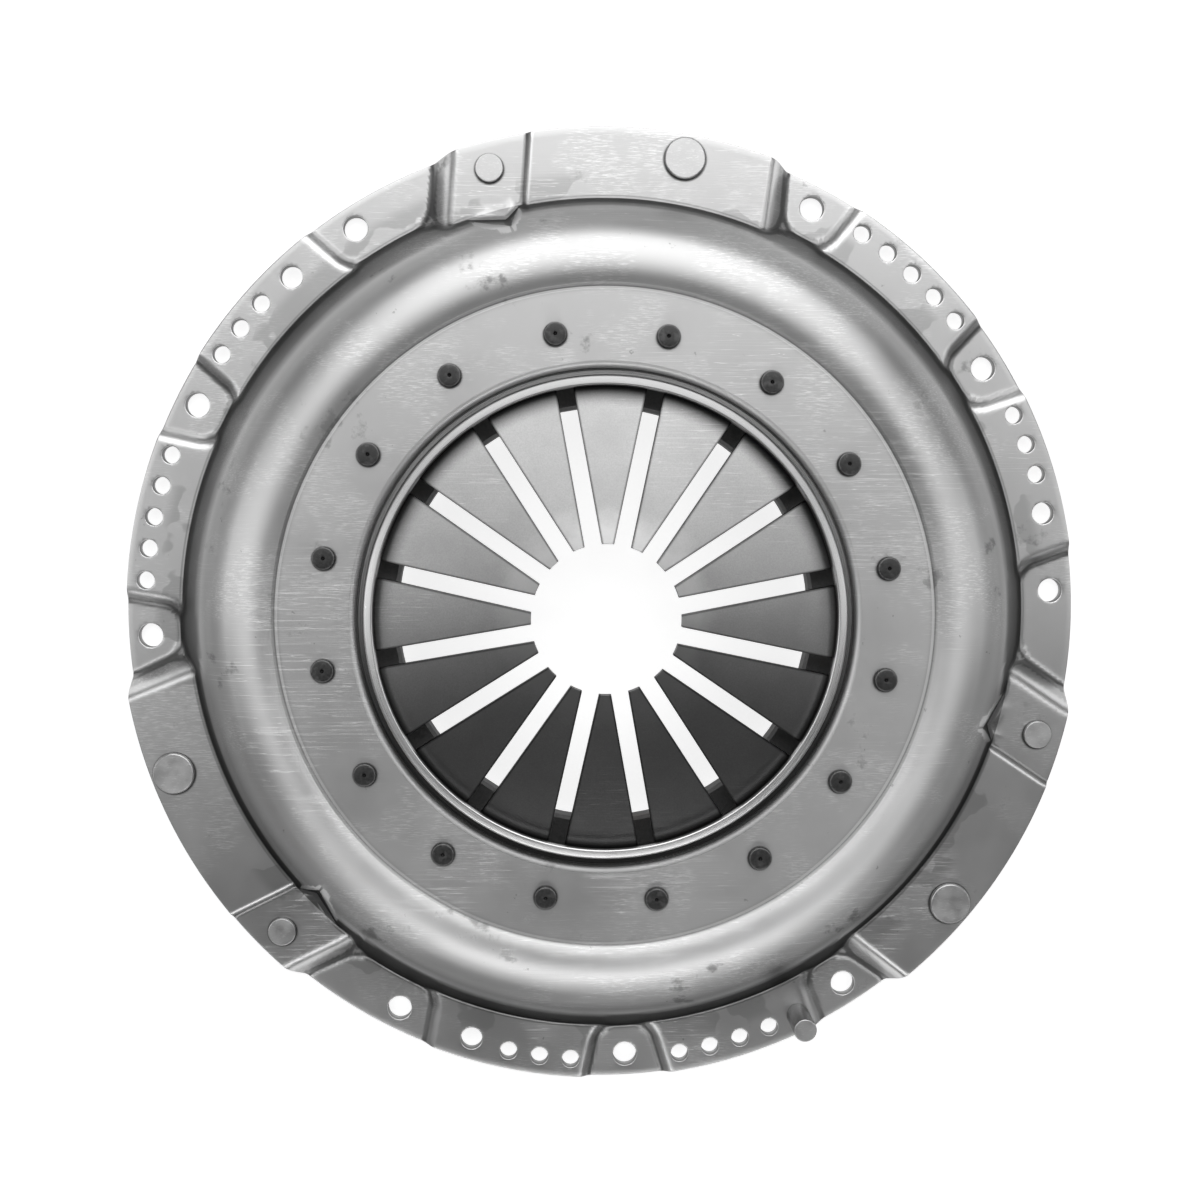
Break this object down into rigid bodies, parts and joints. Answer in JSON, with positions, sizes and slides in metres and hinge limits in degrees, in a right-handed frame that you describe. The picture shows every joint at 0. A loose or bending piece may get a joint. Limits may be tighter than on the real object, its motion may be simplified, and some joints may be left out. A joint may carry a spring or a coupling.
{
  "type": "clutch pressure plate",
  "caption": "Round clutch cover with a finger spring, a cast pressure plate on drive straps and a bolted flange with raised pads.",
  "frame": {"origin": "on the clutch axis, in the plane of the undersides of the bolted pads, which rest on the flywheel", "axes": "+Z along the clutch axis away from the flywheel, towards the release bearing; +Y is up in the picture, +X is right in it"},
  "size_m": [0.435, 0.4349, 0.0489],
  "materials": {
    "cover_steel": "satin pressed sheet with handling marks",
    "machined_steel": "turned bright",
    "spring_wire": "drawn wire",
    "spring_steel": "shot peened, grey, with worn tips",
    "dark_rivet": "black oxide",
    "cast_plate": "cast iron with a ground friction face",
    "bright_rivet": "zinc grey",
    "strap_steel": "rolled spring steel"
  },
  "bodies": {
    "cover_body": {"cover": "cover_steel", "upper_fulcrum_ring": "machined_steel", "lower_fulcrum_ring": "spring_wire", "diaphragm_spring": "spring_steel", "fulcrum_rivets": "dark_rivet", "anchor_rivets": "bright_rivet", "anchor_washers": "bright_rivet", "balance_pin": "bright_rivet", "strap_leaf_1_upper": "strap_steel", "strap_leaf_1_middle": "strap_steel", "strap_leaf_1_lower": "strap_steel", "strap_leaf_2_upper": "strap_steel", "strap_leaf_2_middle": "strap_steel", "strap_leaf_2_lower": "strap_steel", "strap_leaf_3_upper": "strap_steel", "strap_leaf_3_middle": "strap_steel", "strap_leaf_3_lower": "strap_steel"},
    "plate_body": {"pressure_plate": "cast_plate", "stop_rivets": "bright_rivet", "lug_washers": "bright_rivet"}
  },
  "joints": [
    {"name": "plate_lift", "type": "slide", "parent": "cover_body", "child": "plate_body", "axis": [0, 0, 1], "range_m": [0, 0.004], "deforming": ["diaphragm_spring", "strap_leaf_1_upper", "strap_leaf_1_middle", "strap_leaf_1_lower", "strap_leaf_2_upper", "strap_leaf_2_middle", "strap_leaf_2_lower", "strap_leaf_3_upper", "strap_leaf_3_middle", "strap_leaf_3_lower"]}
  ]
}
